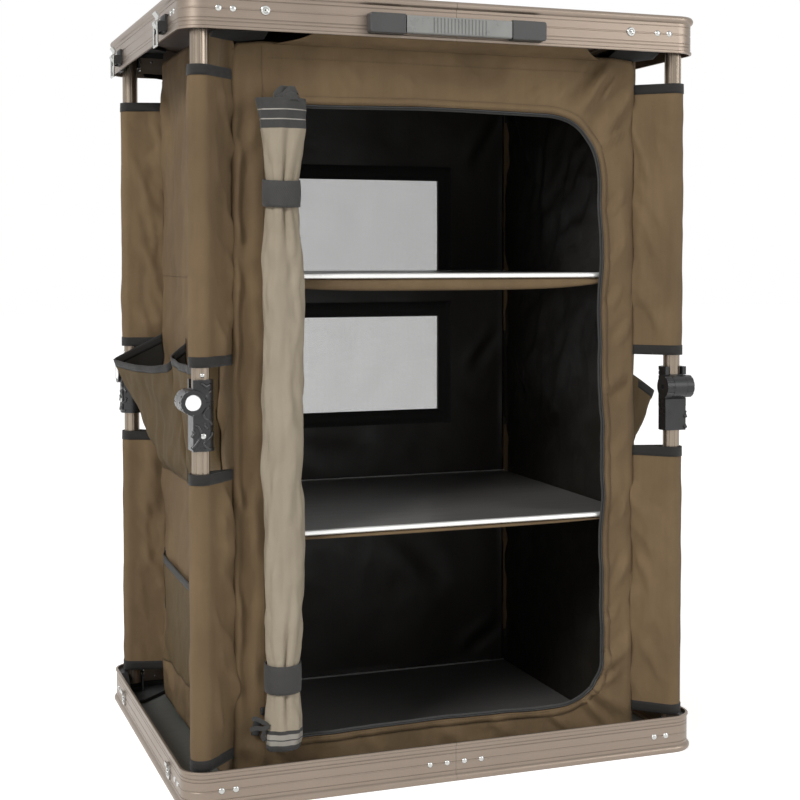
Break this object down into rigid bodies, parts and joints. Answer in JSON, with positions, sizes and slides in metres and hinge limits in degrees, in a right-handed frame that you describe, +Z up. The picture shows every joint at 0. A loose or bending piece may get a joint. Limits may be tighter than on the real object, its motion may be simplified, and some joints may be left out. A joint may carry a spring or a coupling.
{
  "type": "camping cupboard",
  "caption": "Folding camping cupboard: a worktop tray and a base tray joined by folding posts, with a cloth body, shelves, side pockets and a roll-up zipped door.",
  "frame": {"origin": "centre of the underside of the base tray", "axes": "+X to the right seen from the door, +Y to the back, +Z up"},
  "size_m": [0.6254, 0.4762, 0.85],
  "materials": {
    "anodised_rail": "satin champagne anodised",
    "anodised_tube": "satin champagne anodised, fluted",
    "plain_aluminium": "mill finish",
    "black_plastic": "moulded, fine grain",
    "knuckle_plastic": "moulded, semi-matte",
    "cap_plastic": "moulded, semi-matte",
    "grip_plastic": "smooth moulded strap",
    "bright_steel": "bright zinc plate",
    "chromed_button": "polished",
    "worktop_board": "laminated fibreboard, dark brown",
    "base_board": "laminated fibreboard, dark grey",
    "shelf_board": "black laminate",
    "olive_cloth": "coated polyester weave, black inside",
    "door_cloth": "taupe lining side of the rolled door",
    "black_webbing": "woven webbing tape",
    "grey_net": "fine knitted net"
  },
  "bodies": {
    "base": {"base_rails": "anodised_rail", "base_panel": "base_board", "base_splices": "plain_aluminium", "base_corner_brackets": "black_plastic", "base_pivot_pins": "bright_steel", "latch_keepers": "bright_steel", "floor_board": "shelf_board", "front_panel": "olive_cloth", "back_panel": "olive_cloth", "side_panels": "olive_cloth", "roof_panel": "olive_cloth", "window_mesh": "grey_net", "door_zip": "black_webbing", "door_roll": "door_cloth", "door_ties": "black_webbing", "post_sleeves": "olive_cloth", "sleeve_hems": "black_webbing", "side_pockets": "olive_cloth", "fixing_flaps": "olive_cloth"},
    "top": {"worktop": "worktop_board", "top_rails": "anodised_rail", "top_splices": "plain_aluminium", "top_corner_brackets": "black_plastic", "top_pivot_pins": "bright_steel", "latch_bases": "black_plastic", "handle_caps": "cap_plastic"},
    "grip": {"handle_grip": "grip_plastic"},
    "shelf_lower": {"shelf_board_lower": "shelf_board", "shelf_rods_lower": "bright_steel"},
    "shelf_upper": {"shelf_board_upper": "shelf_board", "shelf_rods_upper": "bright_steel"},
    "lower_front_left": {"lower_tube_front_left": "anodised_tube", "lower_knuckle_front_left": "knuckle_plastic"},
    "upper_front_left": {"upper_tube_front_left": "anodised_tube", "upper_knuckle_front_left": "knuckle_plastic"},
    "lock_front_left": {"lock_button_front_left": "chromed_button"},
    "lower_front_right": {"lower_tube_front_right": "anodised_tube", "lower_knuckle_front_right": "knuckle_plastic"},
    "upper_front_right": {"upper_tube_front_right": "anodised_tube", "upper_knuckle_front_right": "knuckle_plastic"},
    "lock_front_right": {"lock_button_front_right": "chromed_button"},
    "lower_rear_right": {"lower_tube_rear_right": "anodised_tube", "lower_knuckle_rear_right": "knuckle_plastic"},
    "upper_rear_right": {"upper_tube_rear_right": "anodised_tube", "upper_knuckle_rear_right": "knuckle_plastic"},
    "lock_rear_right": {"lock_button_rear_right": "chromed_button"},
    "lower_rear_left": {"lower_tube_rear_left": "anodised_tube", "lower_knuckle_rear_left": "knuckle_plastic"},
    "upper_rear_left": {"upper_tube_rear_left": "anodised_tube", "upper_knuckle_rear_left": "knuckle_plastic"},
    "lock_rear_left": {"lock_button_rear_left": "chromed_button"},
    "lever_front_left": {"latch_lever_front_left": "bright_steel"},
    "bail_front_left": {"latch_bail_front_left": "bright_steel"},
    "lever_rear_left": {"latch_lever_rear_left": "bright_steel"},
    "bail_rear_left": {"latch_bail_rear_left": "bright_steel"},
    "lever_front_right": {"latch_lever_front_right": "bright_steel"},
    "bail_front_right": {"latch_bail_front_right": "bright_steel"},
    "lever_rear_right": {"latch_lever_rear_right": "bright_steel"},
    "bail_rear_right": {"latch_bail_rear_right": "bright_steel"}
  },
  "joints": [
    {"name": "fold", "type": "hinge", "parent": "base", "child": "lower_front_left", "pos_m": [-0.2775, -0.21, 0.0313], "axis": [0, 1, 0], "range_deg": [0, 90], "deforming": ["front_panel", "back_panel", "side_panels", "roof_panel", "window_mesh", "door_zip", "door_roll", "door_ties", "post_sleeves", "sleeve_hems", "side_pockets", "fixing_flaps"]},
    {"name": "elbow_front_left", "type": "hinge", "parent": "lower_front_left", "child": "upper_front_left", "pos_m": [-0.2885, -0.21, 0.425], "axis": [0, 1, 0], "range_deg": [-180, 0]},
    {"name": "press_lock_front_left", "type": "slide", "parent": "lower_front_left", "child": "lock_front_left", "axis": [0, 1, 0], "range_m": [0, 0.0025], "stiffness_N_per_m": 600},
    {"name": "post_front_right", "type": "hinge", "parent": "base", "child": "lower_front_right", "pos_m": [0.2775, -0.21, 0.0313], "axis": [-1, 0, 0], "range_deg": [0, 90]},
    {"name": "elbow_front_right", "type": "hinge", "parent": "lower_front_right", "child": "upper_front_right", "pos_m": [0.2775, -0.221, 0.425], "axis": [-1, 0, 0], "range_deg": [-180, 0]},
    {"name": "press_lock_front_right", "type": "slide", "parent": "lower_front_right", "child": "lock_front_right", "axis": [-1, 0, 0], "range_m": [0, 0.0025], "stiffness_N_per_m": 600},
    {"name": "post_rear_right", "type": "hinge", "parent": "base", "child": "lower_rear_right", "pos_m": [0.2775, 0.21, 0.0313], "axis": [0, -1, 0], "range_deg": [0, 90]},
    {"name": "elbow_rear_right", "type": "hinge", "parent": "lower_rear_right", "child": "upper_rear_right", "pos_m": [0.2885, 0.21, 0.425], "axis": [0, -1, 0], "range_deg": [-180, 0]},
    {"name": "press_lock_rear_right", "type": "slide", "parent": "lower_rear_right", "child": "lock_rear_right", "axis": [0, -1, 0], "range_m": [0, 0.0025], "stiffness_N_per_m": 600},
    {"name": "post_rear_left", "type": "hinge", "parent": "base", "child": "lower_rear_left", "pos_m": [-0.2775, 0.21, 0.0313], "axis": [1, 0, 0], "range_deg": [0, 90]},
    {"name": "elbow_rear_left", "type": "hinge", "parent": "lower_rear_left", "child": "upper_rear_left", "pos_m": [-0.2775, 0.221, 0.425], "axis": [1, 0, 0], "range_deg": [-180, 0]},
    {"name": "press_lock_rear_left", "type": "slide", "parent": "lower_rear_left", "child": "lock_rear_left", "axis": [1, 0, 0], "range_m": [0, 0.0025], "stiffness_N_per_m": 600},
    {"name": "worktop_level", "type": "hinge", "parent": "upper_front_left", "child": "top", "pos_m": [-0.2775, -0.21, 0.8187], "axis": [0, 1, 0], "range_deg": [0, 90]},
    {"name": "handle_lift", "type": "slide", "parent": "top", "child": "grip", "axis": [0, -1, 0], "range_m": [0, 0.005]},
    {"name": "shelf_drop_lower", "type": "slide", "parent": "base", "child": "shelf_lower", "axis": [0, 0, -1], "range_m": [0, 0.2582]},
    {"name": "shelf_drop_upper", "type": "slide", "parent": "base", "child": "shelf_upper", "axis": [0, 0, -1], "range_m": [0, 0.5242]},
    {"name": "latch_front_left", "type": "hinge", "parent": "top", "child": "lever_front_left", "pos_m": [-0.306, -0.145, 0.818], "axis": [0, -1, 0], "range_deg": [0, 135]},
    {"name": "bail_swing_front_left", "type": "hinge", "parent": "lever_front_left", "child": "bail_front_left", "pos_m": [-0.31, -0.145, 0.8225], "axis": [0, -1, 0], "range_deg": [-135, 0]},
    {"name": "latch_rear_left", "type": "hinge", "parent": "top", "child": "lever_rear_left", "pos_m": [-0.306, 0.145, 0.818], "axis": [0, -1, 0], "range_deg": [0, 135]},
    {"name": "bail_swing_rear_left", "type": "hinge", "parent": "lever_rear_left", "child": "bail_rear_left", "pos_m": [-0.31, 0.145, 0.8225], "axis": [0, -1, 0], "range_deg": [-135, 0]},
    {"name": "latch_front_right", "type": "hinge", "parent": "top", "child": "lever_front_right", "pos_m": [0.306, -0.145, 0.818], "axis": [0, 1, 0], "range_deg": [0, 135]},
    {"name": "bail_swing_front_right", "type": "hinge", "parent": "lever_front_right", "child": "bail_front_right", "pos_m": [0.31, -0.145, 0.8225], "axis": [0, 1, 0], "range_deg": [-135, 0]},
    {"name": "latch_rear_right", "type": "hinge", "parent": "top", "child": "lever_rear_right", "pos_m": [0.306, 0.145, 0.818], "axis": [0, 1, 0], "range_deg": [0, 135]},
    {"name": "bail_swing_rear_right", "type": "hinge", "parent": "lever_rear_right", "child": "bail_rear_right", "pos_m": [0.31, 0.145, 0.8225], "axis": [0, 1, 0], "range_deg": [-135, 0]}
  ],
  "couplings": [
    {"joint": "elbow_front_left", "follows": "fold", "ratio": -2},
    {"joint": "post_front_right", "follows": "fold", "ratio": 1},
    {"joint": "elbow_front_right", "follows": "fold", "ratio": -2},
    {"joint": "post_rear_right", "follows": "fold", "ratio": 1},
    {"joint": "elbow_rear_right", "follows": "fold", "ratio": -2},
    {"joint": "post_rear_left", "follows": "fold", "ratio": 1},
    {"joint": "elbow_rear_left", "follows": "fold", "ratio": -2},
    {"joint": "worktop_level", "follows": "fold", "ratio": 1},
    {"joint": "shelf_drop_lower", "follows": "fold", "m_per_rad": 0.16425},
    {"joint": "shelf_drop_upper", "follows": "fold", "m_per_rad": 0.33359},
    {"joint": "bail_swing_front_left", "follows": "latch_front_left", "ratio": -1},
    {"joint": "bail_swing_rear_left", "follows": "latch_rear_left", "ratio": -1},
    {"joint": "bail_swing_front_right", "follows": "latch_front_right", "ratio": -1},
    {"joint": "bail_swing_rear_right", "follows": "latch_rear_right", "ratio": -1}
  ]
}
